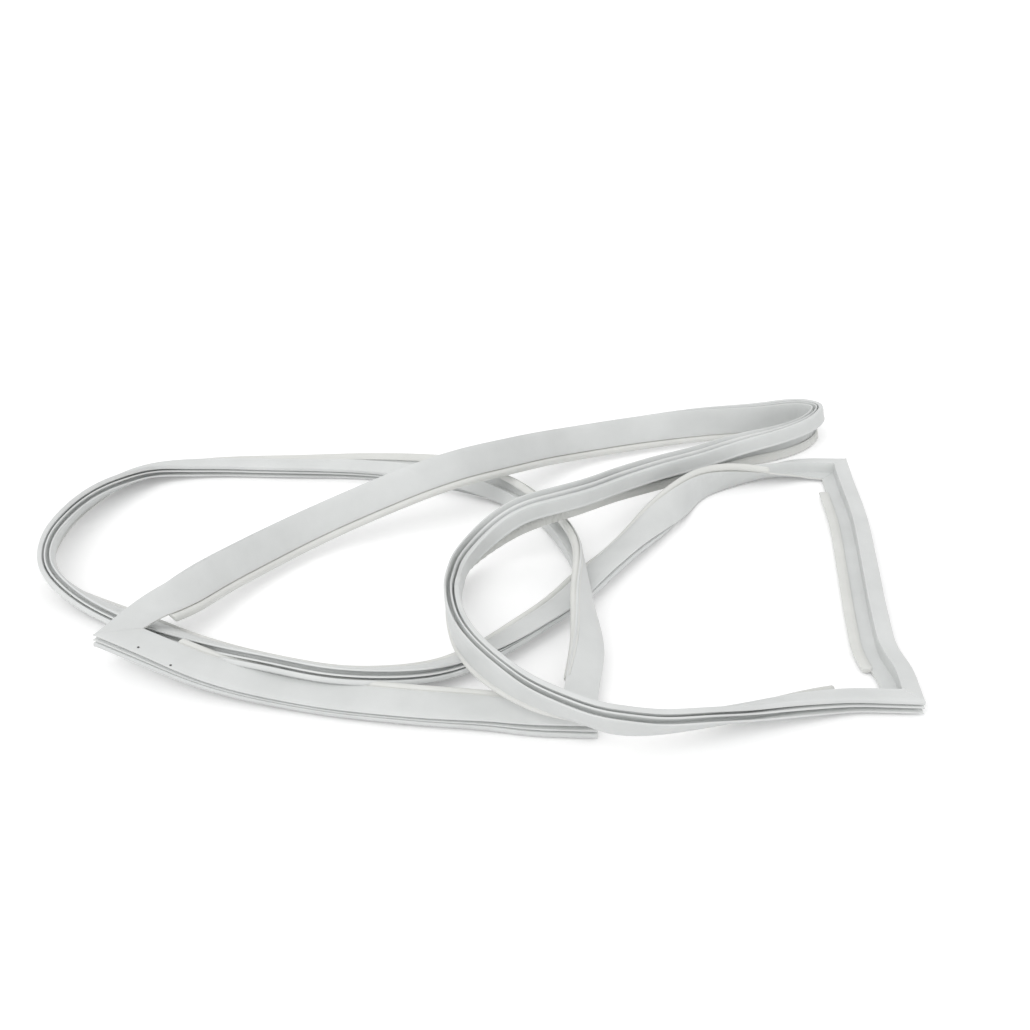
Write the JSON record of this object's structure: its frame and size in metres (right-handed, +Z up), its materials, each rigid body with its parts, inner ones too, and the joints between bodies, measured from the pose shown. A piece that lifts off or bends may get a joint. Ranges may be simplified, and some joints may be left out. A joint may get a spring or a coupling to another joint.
{
  "type": "refrigerator door gasket",
  "caption": "Rectangular magnetic door seal of soft vinyl, mitred at its corners, folded loosely and lying on a flat surface.",
  "frame": {"origin": "on the table under the middle of the folded gasket", "axes": "+Z up from the table, +X towards the right-hand mitred end, -Y towards the viewer"},
  "size_m": [0.743, 0.5952, 0.0741],
  "materials": {
    "soft_vinyl": "satin, soft light grey-white vinyl",
    "magnet_rubber": "matt bonded magnet"
  },
  "bodies": {
    "root": {"welded_gasket": "soft_vinyl", "magnet_strip_long_a_b": "magnet_rubber", "magnet_strip_short_b_c": "magnet_rubber", "magnet_strip_long_c_d": "magnet_rubber", "magnet_strip_short_d_a": "magnet_rubber"}
  },
  "joints": []
}
